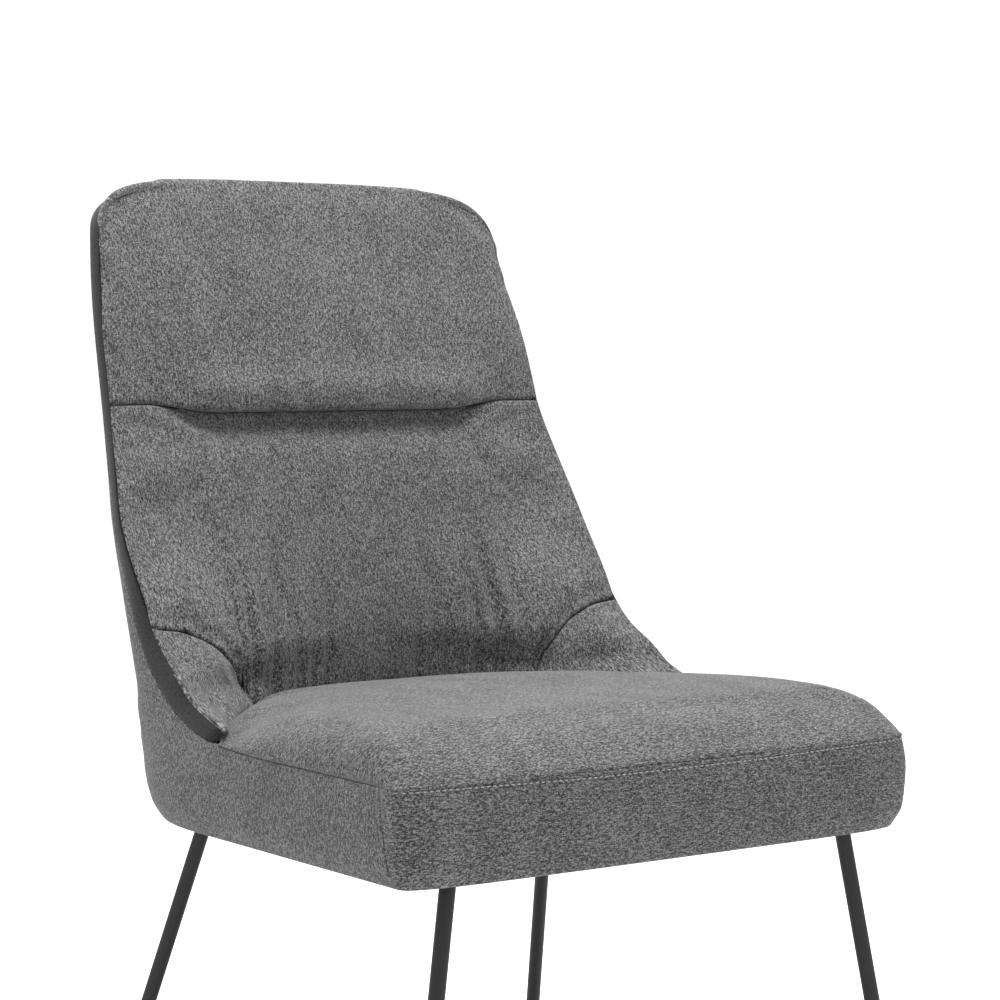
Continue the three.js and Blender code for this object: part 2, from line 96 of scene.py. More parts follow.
BAND_DOME = 2.3  # power of the curve that the band's rear edge follows over the top


def table(rows):
    """A smooth curve without overshoot through rows of (key, value)."""
    xs = np.array([r[0] for r in rows], float)
    ys = np.array([r[1] for r in rows], float)
    h = np.diff(xs)
    d = np.diff(ys) / h
    m = np.zeros(len(xs))
    m[0], m[-1] = d[0], d[-1]
    same = d[:-1] * d[1:] > 0
    m[1:-1][same] = 2 * d[:-1][same] * d[1:][same] / (d[:-1][same] + d[1:][same])

    def value(x):
        x = np.clip(np.asarray(x, float), xs[0], xs[-1])
        i = np.clip(np.searchsorted(xs, x, side="right") - 1, 0, len(h) - 1)
        t = (x - xs[i]) / h[i]
        return ((2 * t**3 - 3 * t**2 + 1) * ys[i] + (t**3 - 2 * t**2 + t) * m[i] * h[i]
                + (3 * t**2 - 2 * t**3) * ys[i + 1] + (t**3 - t**2) * m[i + 1] * h[i])

    return value


half_width, seam_x, seam_y = table(HALF_WIDTH), table(FRONT_SEAM_X), table(FRONT_SEAM_Y)
rear_y, strip_drop, rear_middle = table(REAR_SEAM_Y), table(STRIP_DROP), table(REAR_MIDDLE)
face_middle, front_middle, front_end = table(FACE_MIDDLE), table(FRONT_MIDDLE), table(FRONT_END)
rear_panel_y, rear_power = table(REAR_PANEL_Y), table(REAR_POWER)
face_power, front_power = table(FACE_POWER), table(FRONT_POWER)


def lerp(a, b, t):
    return a + (b - a) * t


def smooth(t):
    """0 below 0, 1 above 1, and an even rise between."""
    c = np.clip(t, 0, 1)
    return c * c * (3 - 2 * c)


def plan_point(angle, w, end, middle, power):
    """Point of a rounded outline seen from above. It is w wide each way, and runs from end to middle."""
    s, c = np.sin(angle), np.cos(angle)
    r = (np.abs(s) ** power + np.abs(c) ** power) ** (-1 / power)
    return w * r * s, end + (middle - end) * r * c


def outer(angle, z):
    """Outside of the body at an angle from the middle of the rear and a height."""
    return plan_point(angle, half_width(z), rear_y(z), rear_middle(z), rear_power(z))


def outer_x(y, z):
    """Half width of the outside at a depth and height."""
    power = rear_power(z)
    share = np.clip((y - rear_y(z)) / (rear_middle(z) - rear_y(z)), 0, 1)
    return half_width(z) * (1 - share**power) ** (1 / power)


def flare(z):
    """1 low on the back, where the wings' front edge leans, and 0 higher up."""
    return 1 - smooth((z - 500) / 120)


def face(share, z):
    """Face of the back at a share of its half width."""
    size = np.abs(share)
    hollow = (face_middle(z) - seam_y(z)) * (1 - size ** face_power(z))
    upright = smooth((z - 450) / 60) * (1 - smooth((z - 525) / 75))
    across = smooth((size - 0.3) / 0.45) * (1 - smooth((size - 0.82) / 0.18))
    return (share * (seam_x(z) + OVERHANG - FLARE_IN * flare(z)),
            seam_y(z) + hollow - RIDGE * upright * across - FLARE_FORWARD * flare(z) * size ** 6)


def top_at(share):
    """Height of the back's top edge at a share of its half width."""
    return TOP - TOP_CORNER * (1 - (1 - np.minimum(1, np.abs(share)) ** 4) ** 0.25)


# ---------------------------------------------------------------------------- mesh building
ENDS = [0, 0.5, 1.2, 2.2, 3.6, 5.4]  # distances in mm at which rows are added beside an edge


def stations(length, step):
    """Shares of a length, evenly spread and closer together near both ends."""
    near = [e / length for e in ENDS]
    inner = max(2, int(round((length - 2 * ENDS[-1]) / step)))
    middle = np.linspace(near[-1], 1 - near[-1], inner + 1)
    return np.array(near[:-1] + list(middle) + [1 - e for e in reversed(near[:-1])])


def run(points, axis):
    """Distance along a grid of points from its first row, along an axis."""
    step = np.linalg.norm(np.diff(points, axis=axis), axis=2)
    total = np.cumsum(step, axis=axis)
    zero = np.zeros_like(np.take(total, [0], axis=axis))
    return np.concatenate([zero, total], axis=axis)


def normals(points):
    """Unit normals of a grid of points."""
    a = np.gradient(points, axis=0)
    b = np.gradient(points, axis=1)
    n = np.cross(a, b)
    length = np.linalg.norm(n, axis=2, keepdims=True)
    return n / np.maximum(length, 1e-9)


def rolled(distance, radius):
    """How far a surface has turned inward at a distance from its edge."""
    d = radius - np.clip(distance, 0, radius)
    return radius - np.sqrt(np.maximum(radius**2 - d**2, 0))


def panel(name, points, thickness=8.0, edges=(2.5, 2.5, 2.5, 2.5), bump=None, outward=1, behind=None,
          weave=None):
    """A closed upholstered piece over a grid of points. edges are the radii at which it turns in at the
    start and end of its first axis and of its second. bump(run_u, run_v) lifts the surface. Its hidden
    back lies along its normals, or where behind(points, thickness) puts it. weave holds each point's
    place on the cloth; by default it is the distance along the surface."""
    n = normals(points) * outward
    ru, rv = run(points, 0), run(points, 1)
    lift = np.zeros(points.shape[:2])
    if bump is not None:
        lift = bump(ru, rv)
    inward = np.zeros_like(lift)
    for radius, d in zip(edges, (ru, ru[-1:, :] - ru, rv, rv[:, -1:] - rv)):
        if radius:
            inward = np.maximum(inward, rolled(d, radius))
    front = points + n * (lift - inward)[..., None]
    back = points - n * thickness if behind is None else behind(points, thickness)
    rows, cols = points.shape[:2]
    verts = np.concatenate([front.reshape(-1, 3), back.reshape(-1, 3)])
    size = rows * cols
    at = lambda i, j, k=0: k * size + i * cols + j
    faces = []
    flip = outward < 0
    for i in range(rows - 1):
        for j in range(cols - 1):
            quad = (at(i, j), at(i + 1, j), at(i + 1, j + 1), at(i, j + 1))
            faces.append(quad[::-1] if flip else quad)
            quad = (at(i, j, 1), at(i, j + 1, 1), at(i + 1, j + 1, 1), at(i + 1, j, 1))
            faces.append(quad[::-1] if flip else quad)
    rim = ([(i, 0) for i in range(rows)] + [(rows - 1, j) for j in range(1, cols)]
           + [(i, cols - 1) for i in range(rows - 2, -1, -1)] + [(0, j) for j in range(cols - 2, 0, -1)])
    for (i, j), (p, q) in zip(rim, rim[1:] + rim[:1]):
        quad = (at(p, q), at(i, j), at(i, j, 1), at(p, q, 1))
        faces.append(quad[::-1] if flip else quad)
    if weave is None:
        weave = np.stack([ru - ru[rows // 2 : rows // 2 + 1, :], rv], axis=2)
    uv = weave.reshape(-1, 2)
    uv = np.concatenate([uv, uv + 0.7 * thickness])  # so that the cloth runs on over the rim
    return mesh_object(name, verts, faces, uv)


def mesh_object(name, verts, faces, uv=None):
    """A smooth mesh from points in the build frame, with uv in millimetres of cloth."""
    place = np.array(verts, float)
    place[:, 1] += ORIGIN_Y
    mesh = bpy.data.meshes.new(name)
    mesh.from_pydata((place / 1000).tolist(), [], faces)
    mesh.polygons.foreach_set("use_smooth", [True] * len(mesh.polygons))
    if uv is not None:
        layer = mesh.uv_layers.new(name="cloth")
        loops = np.zeros(len(mesh.loops), np.int32)
        mesh.loops.foreach_get("vertex_index", loops)
        layer.data.foreach_set("uv", (np.asarray(uv)[loops] / 1000).astype(np.float32).ravel())
    mesh.update()
    obj = bpy.data.objects.new(name, mesh)
    bpy.context.scene.collection.objects.link(obj)
    return obj


def tucked_in(points, thickness):
    """Back of a pad that reaches over the band: straight back, and in from the band all round."""
    x, y, z = np.moveaxis(points, 2, 0)
    return np.stack([x * 0.97, y + thickness, z - 7 * smooth((z - TOP + 45) / 40)], axis=2)


def upright_weave(points, stretch=1.06):
    """Cloth whose warp stays upright: across by x, up by height."""
    return np.stack([points[..., 0] * stretch, points[..., 2]], axis=2)


def grid(shares_a, shares_b, place):
    """Points that place(a, b) gives for every pair of shares."""
    a, b = np.meshgrid(shares_a, shares_b, indexing="ij")
    return np.stack(np.broadcast_arrays(*place(a, b)), axis=2).astype(float)


def keep(obj, material, slot, *stands_for, fill=None):
    """Puts a finished piece on the chair."""
    obj.data.materials.clear()
    obj.data.materials.append(material)
    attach(obj, "root")
    if stands_for:
        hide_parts(*stands_for)


# ---------------------------------------------------------------------------- materials
def node_material(name):
    """A material with a Principled shader, and its tree and shader."""
    material = bpy.data.materials.new(name)
    material.use_nodes = True
    tree = material.node_tree
    tree.nodes.clear()
    out = tree.nodes.new("ShaderNodeOutputMaterial")
    shader = tree.nodes.new("ShaderNodeBsdfPrincipled")
    tree.links.new(shader.outputs["BSDF"], out.inputs["Surface"])
    return material, tree, shader


def noise(tree, vector, scale, detail, stretch, seed=0.0):
    """Noise between 0 and 1, at a place that seed moves."""
    mapping = tree.nodes.new("ShaderNodeMapping")
    mapping.inputs["Scale"].default_value = stretch
    mapping.inputs["Location"].default_value = (seed, seed * 0.7, seed * 1.3)
    tree.links.new(vector, mapping.inputs["Vector"])
    n = tree.nodes.new("ShaderNodeTexNoise")
    n.inputs["Scale"].default_value = scale
    n.inputs["Detail"].default_value = detail
    n.inputs["Roughness"].default_value = 0.6
    tree.links.new(mapping.outputs["Vector"], n.inputs["Vector"])
    return n.outputs["Fac"]


def maths(tree, operation, a, b):
    n = tree.nodes.new("ShaderNodeMath")
    n.operation = operation
    for socket, value in zip(n.inputs, (a, b)):
        if isinstance(value, (int, float)):
            socket.default_value = value
        else:
            tree.links.new(value, socket)
    return n.outputs["Value"]


def ramp(tree, value, stops):
    """Colours, or greys, between stops of (position, colour)."""
    n = tree.nodes.new("ShaderNodeValToRGB")
    elements = n.color_ramp.elements
    while len(elements) < len(stops):
        elements.new(0.5)
    for element, (position, grey) in zip(elements, stops):
        element.position = position
        element.color = grey if isinstance(grey, tuple) else (grey, grey, grey, 1)
    tree.links.new(value, n.inputs["Fac"])
    return n.outputs["Color"]


def heather(name, dark, middle, light, along=0.0, contrast=1.0):
    """Woven cloth with light and dark slubs. Slubs run along the cloth's v axis, or its u axis if along
    is 1."""
    material, tree, shader = node_material(name)
    source = tree.nodes.new("ShaderNodeUVMap")
    source.uv_map = "cloth"
    uv = source.outputs["UV"]
    long_way, cross_way = ((1, 0.32, 1), (0.42, 1, 1))
    if along:
        long_way, cross_way = ((0.32, 1, 1), (1, 0.42, 1))
    warp = noise(tree, uv, 1250, 1.0, long_way, 0.37)
    weft = noise(tree, uv, 1000, 1.0, cross_way, 1.91)
    slub = noise(tree, uv, 520, 2.0, long_way, 2.63)
    cloud = noise(tree, uv, 30, 2.0, (1, 0.6, 1), 3.17)
    mix = maths(tree, "ADD", maths(tree, "MULTIPLY", warp, 0.44), maths(tree, "MULTIPLY", weft, 0.3))
    mix = maths(tree, "ADD", mix, maths(tree, "MULTIPLY", slub, 0.2))
    mix = maths(tree, "ADD", mix, maths(tree, "MULTIPLY", cloud, 0.06))
    spread = 0.13 / contrast
    colour = ramp(tree, mix, [(0.5 - spread, dark), (0.5, middle), (0.5 + spread, light)])
    tree.links.new(colour, shader.inputs["Base Color"])
    shader.inputs["Roughness"].default_value = 0.95
    shader.inputs["Specular IOR Level"].default_value = 0.15
    shader.inputs["Sheen Weight"].default_value = 0.12
    shader.inputs["Sheen Roughness"].default_value = 0.5
    bump = tree.nodes.new("ShaderNodeBump")
    bump.inputs["Strength"].default_value = 0.35
    bump.inputs["Distance"].default_value = 0.0006
    tree.links.new(mix, bump.inputs["Height"])
    tree.links.new(bump.outputs["Normal"], shader.inputs["Normal"])
    return material


def plain(name, colour, roughness, metallic=0.0, grain=0.0, scale=300.0, stretch=(1, 1, 1)):
    """A single-coloured finish with a little procedural variation."""
    material, tree, shader = node_material(name)
    source = tree.nodes.new("ShaderNodeTexCoord")
    value = noise(tree, source.outputs["Object"], scale, 3.0, stretch, 0.5)
    low = tuple(c * (1 - grain) for c in colour) + (1,)
    high = tuple(min(1, c * (1 + grain)) for c in colour) + (1,)
    tree.links.new(ramp(tree, value, [(0.3, low), (0.7, high)]), shader.inputs["Base Color"])
    shader.inputs["Roughness"].default_value = roughness
    shader.inputs["Metallic"].default_value = metallic
    return material


cloth = heather("heather_cloth", 0.012, 0.067, 0.18, contrast=1.4)
cloth_seat = heather("heather_cloth_seat", 0.012, 0.067, 0.18, along=1.0, contrast=1.4)
charcoal = heather("charcoal_cloth", 0.004, 0.0115, 0.026, contrast=1.1)
thread = plain("stitch_thread", (0.21, 0.21, 0.21), 0.9, grain=0.2)
black_steel = plain("black_powder_coat", (0.009, 0.009, 0.01), 0.6, grain=0.1, scale=900)
black_steel.node_tree.nodes["Principled BSDF"].inputs["Specular IOR Level"].default_value = 0.3
zinc = plain("zinc_plate", (0.6, 0.6, 0.57), 0.35, metallic=1.0, grain=0.06)
plywood = plain("bare_plywood", (0.62, 0.45, 0.27), 0.75, grain=0.16, scale=40, stretch=(1, 1, 14))
timber = plain("sawn_timber", (0.64, 0.48, 0.3), 0.8, grain=0.18, scale=60, stretch=(1, 0.15, 1))
lining = plain("dust_cloth", (0.02, 0.02, 0.02), 0.95, grain=0.3, scale=700)
foam = plain("foam", (0.72, 0.66, 0.48), 0.95, grain=0.06, scale=500)
plastic = plain("black_plastic", (0.02, 0.02, 0.02), 0.45, grain=0.1)

# ---------------------------------------------------------------------------- cloth
layout = {}  # of each soft piece: distance of each point of its face from its nearest edge


def remember(obj, points):
    """Notes how far each point of a piece's face is from the piece's nearest edge."""
    ru, rv = run(points, 0), run(points, 1)
    layout[obj.name] = np.minimum.reduce([ru, ru[-1:, :] - ru, rv, rv[:, -1:] - rv]).ravel()


def settle(obj, hem=6.0, pressure=4.0, grow=0.02, cap=4.0, bending=0.6, frames=20):
    """Runs the piece's face as cloth over its padding: the back and a hem along the seams are held, the
    cloth is a little larger than its place, and the pressure of the foam pushes it out."""
    edge = layout[obj.name]
    count = len(obj.data.vertices)
    held = obj.vertex_groups.new(name="held")
    weight = np.ones(count)
    weight[: len(edge)] = 1 - smooth((edge - hem * 0.4) / hem)
    for index in range(count):
        if weight[index] > 0.001:
            held.add([index], float(weight[index]), "REPLACE")
    rest = np.zeros(count * 3)
    obj.data.vertices.foreach_get("co", rest)
    cloth_modifier = obj.modifiers.new("cloth", "CLOTH")
    s = cloth_modifier.settings
    s.quality = 6
    s.mass = 0.15
    s.tension_stiffness = 20
    s.compression_stiffness = 20
    s.shear_stiffness = 8
    s.bending_stiffness = bending
    s.tension_damping = s.compression_damping = 10
    s.bending_damping = 1
    s.air_damping = 3
    s.shrink_min = -grow
    s.use_pressure = True
    s.uniform_pressure_force = pressure
    s.vertex_group_mass = "held"
    s.pin_stiffness = 5
    s.effector_weights.gravity = 0
    cloth_modifier.collision_settings.use_self_collision = False
    cloth_modifier.point_cache.frame_start = 1
    cloth_modifier.point_cache.frame_end = frames
    scene = bpy.context.scene
    for number in range(1, frames + 1):
        scene.frame_set(number)
    graph = bpy.context.evaluated_depsgraph_get()
    result = obj.evaluated_get(graph).to_mesh()
    moved = np.zeros(count * 3)
    result.vertices.foreach_get("co", moved)
    obj.evaluated_get(graph).to_mesh_clear()
    obj.modifiers.remove(cloth_modifier)
    step = (moved - rest).reshape(-1, 3)
    size = np.linalg.norm(step, axis=1, keepdims=True)
    limit = cap / 1000
    step *= limit * np.tanh(size / limit) / np.maximum(size, 1e-9)
    step[len(edge):] = 0
    obj.data.vertices.foreach_set("co", (rest.reshape(-1, 3) + step).ravel())
    obj.data.update()
    scene.frame_set(1)
    print("settled", obj.name, "largest move mm", round(float(size.max()) * 1000, 2))


# ---------------------------------------------------------------------------- surfaces
TUCK = 704.0  # height of the seam that divides the back
TUCK_DROP = 9.0  # how much lower it hangs in the middle
TUCK_HALF = 118.0  # half width over which the upper pad hangs over the lower one
TUCK_FADE = 70.0  # width over which that dies away
TUCK_SIDE = 224.0  # half width of the back at the tuck
SEAM_GAP = 0.4
PAD_FOOT = 436.0  # lowest point of the lower pad, hidden behind the seat


def tuck_depth(x):
    """1 where the upper pad overhangs the lower one, 0 towards the sides."""
    return 1 - smooth((np.abs(x) - TUCK_HALF) / TUCK_FADE)


def tuck_z(x):
    """Height of the tuck at a distance from the middle."""
    return TUCK - TUCK_DROP * tuck_depth(x)


wing_low = table([(x / float(seam_x(z)), z) for x, z in WING_SEAM[:-1]] + [(1.0, 523.5)])
WING_START = 0.6  # share of the half width at which the wings begin


def wobble(values, seed):
    """A smooth, repeatable wandering between -1 and 1."""
    total = np.zeros_like(np.asarray(values, float))
    pick = random.Random(seed)
    for wave in (1.0, 1.7, 2.9):
        total += np.sin(values * wave + pick.uniform(0, 2 * math.pi)) / wave
    return total / 1.6


# Upper pad
def upper_place(t, v):
    share = np.sin(t * math.pi / 2)
    low = tuck_z(share * TUCK_SIDE) + SEAM_GAP
    size = np.abs(share)
    square = 1.5 * smooth((size - 0.45) / 0.4) * (1 - smooth((size - 0.9) / 0.09))
    z = lerp(low, top_at(share) + 3.2 + square, v)
    x, y = face(share, np.minimum(z, TOP))
    return x, y, z


upper_grid = grid(np.linspace(-1, 1, 111), stations(196, 3.6), upper_place)


def upper_bump(ru, rv):
    x = upper_grid[..., 0]
    depth = tuck_depth(x)
    roll = 10.0 * depth * np.exp(-((rv - 13) / 24) ** 2)
    crown = 2.5 * smooth(rv / 60) * smooth((rv[:, -1:] - rv) / 50) * (1 - (x / 225) ** 4)
    gather = 0.9 * depth * wobble(x / 9.0, 5) * np.exp(-rv / 24) * smooth(rv / 5)
    return roll + crown + gather


upper_pad = panel("upper_back_cushion", upper_grid, 11.0, (2.5, 2.5, 4.5, 5.5), upper_bump,
                  behind=tucked_in, weave=upright_weave(upper_grid))
remember(upper_pad, upper_grid)
settle(upper_pad, hem=7, pressure=3, grow=0.012, cap=2.5)
keep(upper_pad, cloth, "fabric_grey", "upper_back_pad", fill=0.85)


# Lower pad
def lower_place(t, v):
    share = np.sin(t * math.pi / 2)
    low = np.maximum(wing_low(np.abs(share)), PAD_FOOT)
    z = lerp(low, tuck_z(share * TUCK_SIDE) - SEAM_GAP, v)
    x, y = face(share, z)
    return x, y, z


lower_grid = grid(np.linspace(-1, 1, 261), stations(262, 3.6), lower_place)
FIRST_CREASE, LAST_CREASE = 48.0, 158.0  # distances from the middle between which the creases lie


def creases(across, z, seed):
    """Upright creases low on both sides of the back, each with its own place, depth and height."""
    pick = random.Random(seed)
    total = np.zeros_like(z)
    for side in (-1, 1):
        place = FIRST_CREASE
        while place < LAST_CREASE:
            depth = pick.uniform(5.5, 9.5) * (0.4 + 0.6 * place / LAST_CREASE)
            high, width, lean = pick.uniform(545, 630), pick.uniform(3.6, 6.4), pick.uniform(-0.08, 0.08)
            valley = np.exp(-((side * across - place - lean * (z - 460)) / width) ** 2)
            total -= depth * valley * (1 - smooth((z - high + 70) / 70))
            place += pick.uniform(12, 20)
    return total


def lower_bump(ru, rv):
    x, z = lower_grid[..., 0], lower_grid[..., 2]
    below = rv[:, -1:] - rv
    tuck = -12.0 * tuck_depth(x) * np.exp(-((below) / 17) ** 2)
    side = smooth((np.abs(x) - 30) / 90)
    envelope = (1 - smooth((z - 490) / 150)) * (0.2 + 0.8 * side)
    fold = wobble(x / 4.6, 11)
    crown = 3.0 * smooth(rv / 25) * smooth(below / 80)
    return tuck + crown + 1.2 * envelope * fold + creases(x, z, 7)


lower_pad = panel("lower_back_cushion", lower_grid, 11.0, (2.5, 2.5, 3, 4), lower_bump,
                  behind=tucked_in, weave=upright_weave(lower_grid))
remember(lower_pad, lower_grid)
settle(lower_pad, hem=7, pressure=2, grow=0.02, cap=3.0)
keep(lower_pad, cloth, "fabric_grey", "lower_back_pad", fill=0.75)

# Wings
for side, word in ((1, "right"), (-1, "left")):

    def wing_place(a, v, side=side):
        t = lerp(math.asin(WING_START) * 2 / math.pi, 1, a if side > 0 else 1 - a)
        share = np.sin(t * math.pi / 2)
        low = lerp(432, 448, smooth((share - 0.82) / 0.16))
        z = lerp(low, np.maximum(wing_low(share) - SEAM_GAP, 433), v)
        x, y = face(share, z)
        return side * x, y, z

    wing_grid = grid(stations(150, 3.2), stations(88, 3.2), wing_place)

    def wing_bump(ru, rv):
        width, height = ru[-1:, :], rv[:, -1:]
        dome = (4 * (ru / width) * (1 - ru / width)) ** 0.7 * smooth((height - rv) / 30)
        inside = smooth(np.minimum(ru, width - ru) / 16)
        crease = wobble(ru / 9, 21) * (1 - smooth((rv - 20) / 60)) * inside
        return 5.0 * dome + 1.5 * crease

    wing = panel(f"wing_cushion_{word}", wing_grid, 9.0, (2.5, 2.5, 1, 5), wing_bump, behind=tucked_in,
                 weave=upright_weave(wing_grid, 1.3))
    remember(wing, wing_grid)
    settle(wing, hem=5, pressure=3, grow=0.015, cap=2.5)
    keep(wing, cloth, "fabric_grey", f"wing_pad_{word}", fill=0.8)

# Seat cushion's top
side_top = table([(12, 436), (170, 436), (225, 437.5), (262, 440.5), (300, 441)])  # (depth, height)
SEAT_HALF = 249.5
SEAT_BACK = 249.0  # least depth of the cushion's rear edge
seat_shares = np.sin(np.linspace(-1, 1, 129) * math.pi / 2)


def front_line(share):
    """Depth of the cushion's front seam."""
    return SEAT_SIDE - 30 * (1 - np.abs(share) ** 6.5) ** (1 / 6.5)


def seat_place(share, b):
    x = share * SEAT_HALF
    front = front_line(share)
    back = np.maximum(SEAT_BACK, face(share, 452)[1] + 9 * (1 - np.abs(share) ** 8))
    y = lerp(front, back, b)
    seam = side_top(y)
    from_front = np.minimum(1, (y - front) / 115)
    side = np.sqrt(np.maximum(0, 1 - np.abs(share) ** lerp(30, 7, smooth((y - 140) / 110))))
    fore = 1 - (1 - from_front) ** 4.6
    sink = (18.5 - 4 * np.abs(share)) * (1 - np.minimum(1, (back - y) / 220)) ** 2
    sink = sink + 14 * smooth((np.abs(share) - 0.45) / 0.3) * (1 - smooth((back - y) / 60))
    crown = np.maximum(SEAM + CROWN - sink - 9 * smooth(1 - (back - y) / 10), seam + 8)
    return x, y, seam + (crown - seam) * side * fore


seat_grid = grid(seat_shares, stations(430, 3.8), seat_place)


def seat_bump(ru, rv):
    x, y = seat_grid[..., 0], seat_grid[..., 1]
    near_wing = smooth((np.abs(x) - 110) / 90) * smooth((y - 190) / 90)
    folds = wobble((np.abs(x) * 0.55 + y) / 15.0, 31)
    front_pull = (1 - smooth(rv / 26)) * wobble(x / 8.0, 33)
    return 1.1 * near_wing * folds + 0.35 * front_pull


seat_across, seat_run = run(seat_grid, 0), run(seat_grid, 1)
seat_weave = np.stack([seat_across - seat_across[64:65, :], seat_run + seat_grid[:, :1, 1]], axis=2)
seat_top = panel("seat_cushion_top", seat_grid, 12.0, (1.2, 1.2, 1.6, 6), seat_bump, weave=seat_weave)
remember(seat_top, seat_grid)
settle(seat_top, hem=7, pressure=3, grow=0.006, cap=3.0, bending=1.5)
keep(seat_top, cloth_seat, "fabric_grey", "seat_cushion", fill=0.85)


# Front boxing
STITCH_DROP = 4.6  # how far below the front seam its row of stitches runs
FRONT_HALF = 246.0  # half width of the front boxing


def front_seam_z(x):
    """Height of the front seam at a distance from the middle."""
    return SEAM - 0.3 + 2.6 * smooth((np.abs(x) - 40) / 80) - 2.4 * smooth((np.abs(x) - 222) / 22)


def front_place(t, v):
    angle = t * math.pi / 2
    top = front_seam_z(t * FRONT_HALF)
    z = lerp(SEAT_BOTTOM, top, v)
    x, y = plan_point(angle, half_width(z), front_end(z), front_middle(z), front_power(z))
    return x, y, z


front_grid = grid(np.linspace(-1, 1, 141), stations(76, 3.2), front_place)


def front_bump(ru, rv):
    pull = np.exp(-((rv[:, -1:] - rv) / 7) ** 2)
    groove = np.exp(-((rv[:, -1:] - rv - STITCH_DROP) / 1.4) ** 2)
    return 0.35 * pull * wobble(ru / 7.0, 41) - 1.1 * groove


front_run = run(front_grid, 0)
front_weave = np.stack([front_run - front_run[70:71, :], front_grid[..., 2]], axis=2)
front_boxing = panel("front_boxing", front_grid, 8.0, (1.2, 1.2, 3.5, 1.6), front_bump, weave=front_weave)
keep(front_boxing, cloth_seat, "fabric_grey", "front_cover", "front_pad", fill=0.9)

# Side panels
top_line = np.array([(y, float(side_top(y))) for y in np.linspace(SEAT_SIDE, 258, 24)]
                    + [(float(rear_y(z)), z) for z in np.linspace(440.5, 654, 60)])
top_length = np.concatenate([[0], np.cumsum(np.linalg.norm(np.diff(top_line, axis=0), axis=1))])
top_share = top_length / top_length[-1]
STRAIGHT = 230.0  # depth behind which the side panel fans out
CORNER_Y, CORNER_Z = 466.0, 655.0  # its top corner, where it meets the rear panel and the band
BOTTOM_Y = 392.0  # depth of its lower rear corner

for side, word in ((1, "right"), (-1, "left")):

    def side_place(s, v, side=side):
        y_top = np.interp(s, top_share, top_line[:, 0])
        z_top = np.interp(s, top_share, top_line[:, 1]) - 0.3
        y_low = np.where(y_top < STRAIGHT, y_top,
                         STRAIGHT + (y_top - STRAIGHT) * (BOTTOM_Y - STRAIGHT) / (CORNER_Y - STRAIGHT))
        z = lerp(SEAT_BOTTOM, z_top, v)
        seam = rear_panel_y(SEAT_BOTTOM + v * (CORNER_Z - SEAT_BOTTOM))
        y = lerp(y_low, y_top, (seam - BOTTOM_Y) / (CORNER_Y - BOTTOM_Y))
        y = y + (front_end(z) + SEAM_GAP - SEAT_SIDE) * (1 - s) ** 8
        return side * outer_x(y, z), y, z

    side_grid = grid(stations(540, 5), stations(90, 4), side_place)
    side_weave = np.stack([side_grid[..., 1] + 0.6 * (250 - np.abs(side_grid[..., 0])),
                           side_grid[..., 2]], axis=2)

    def side_bump(ru, rv):
        pull = np.exp(-((rv[:, -1:] - rv) / 9) ** 2)
        return 0.4 * pull * wobble(ru / 8.0, 51)

    boxing = panel(f"side_panel_{word}", side_grid, 8.0, (1.2, 1.6, 3.5, 1.2), side_bump, outward=side,
                   weave=side_weave)
    keep(boxing, cloth, "fabric_grey", f"side_cover_{word}", f"side_pad_{word}", fill=0.9)


# Rear panel
REAR_TURN = math.radians(88)  # how far round the body the rear panel reaches at most


def rear_limit(z):
    """Angle at which the rear panel meets the side panel, or the strip higher up."""
    y = np.maximum(rear_panel_y(z), rear_y(z) + 0.6)
    x = outer_x(y, z) / half_width(z)
    depth = (y - rear_y(z)) / (rear_middle(z) - rear_y(z))
    return np.minimum(np.arctan2(x, depth), REAR_TURN)


def rear_place(t, v):
    share, _ = plan_point(t * REAR_TURN, 1.0, 0.0, 1.0, BAND_DOME)
    z = lerp(SEAT_BOTTOM, top_at(share) - 6.6, v)
    x, y = outer(t * rear_limit(z), z)
    return x, y, z


rear_grid = grid(np.linspace(-1, 1, 121), stations(560, 5), rear_place)
rear_run = run(rear_grid, 0)
rear_weave = np.stack([rear_run - rear_run[60:61, :], rear_grid[..., 2]], axis=2)
rear_panel = panel("rear_panel", rear_grid, 6.0, (1.6, 1.6, 3.5, 1.5), outward=-1, weave=rear_weave)
keep(rear_panel, cloth, "fabric_grey", "rear_cover", fill=0.6)


# Contrasting strip
SIDE_RUN = 0.44  # share of each half of the strip that runs down the side


def strip_edges(t):
    """Front and rear edge of the strip, from its left end at -1 over the top to its right end at 1."""
    size, sign = np.abs(t), np.sign(t)
    climb = np.clip((size - 1 + SIDE_RUN) / SIDE_RUN, 0, 1)
    share = np.sin(np.minimum(1, size / (1 - SIDE_RUN)) * math.pi / 2) * sign
    z = np.where(climb > 0, lerp(float(top_at(1)), BAND_END, climb**0.85), top_at(share))
    _, y = face(share, z)
    front = np.stack([share * (seam_x(z) + 1.2 - FLARE_IN * flare(z)), y + 1.6, z], axis=-1)
    low = z - strip_drop(z)
    depth = np.maximum(0, 1 - np.abs(share) ** BAND_DOME) ** (1 / BAND_DOME)
    angle = np.arctan2(np.abs(share), depth) * sign
    x, y = outer(angle, low)
    return front, np.stack([x, y, low], axis=-1)


strip_front, strip_rear = strip_edges(np.linspace(-1, 1, 301))
strip_across = np.array([0, 0.03, 0.08, 0.15, 0.3, 0.5, 0.7, 0.85, 0.92, 0.97, 1])[None, :, None]
strip_grid = strip_front[:, None, :] + (strip_rear - strip_front)[:, None, :] * strip_across


def strip_bump(ru, rv):
    return 1.1 * np.sin(math.pi * rv / rv[:, -1:]) + 0.3


strip = panel("border_band", strip_grid, 4.0, (1, 1, 1.2, 1.2), strip_bump)
keep(strip, charcoal, "fabric_charcoal", "border_strip")


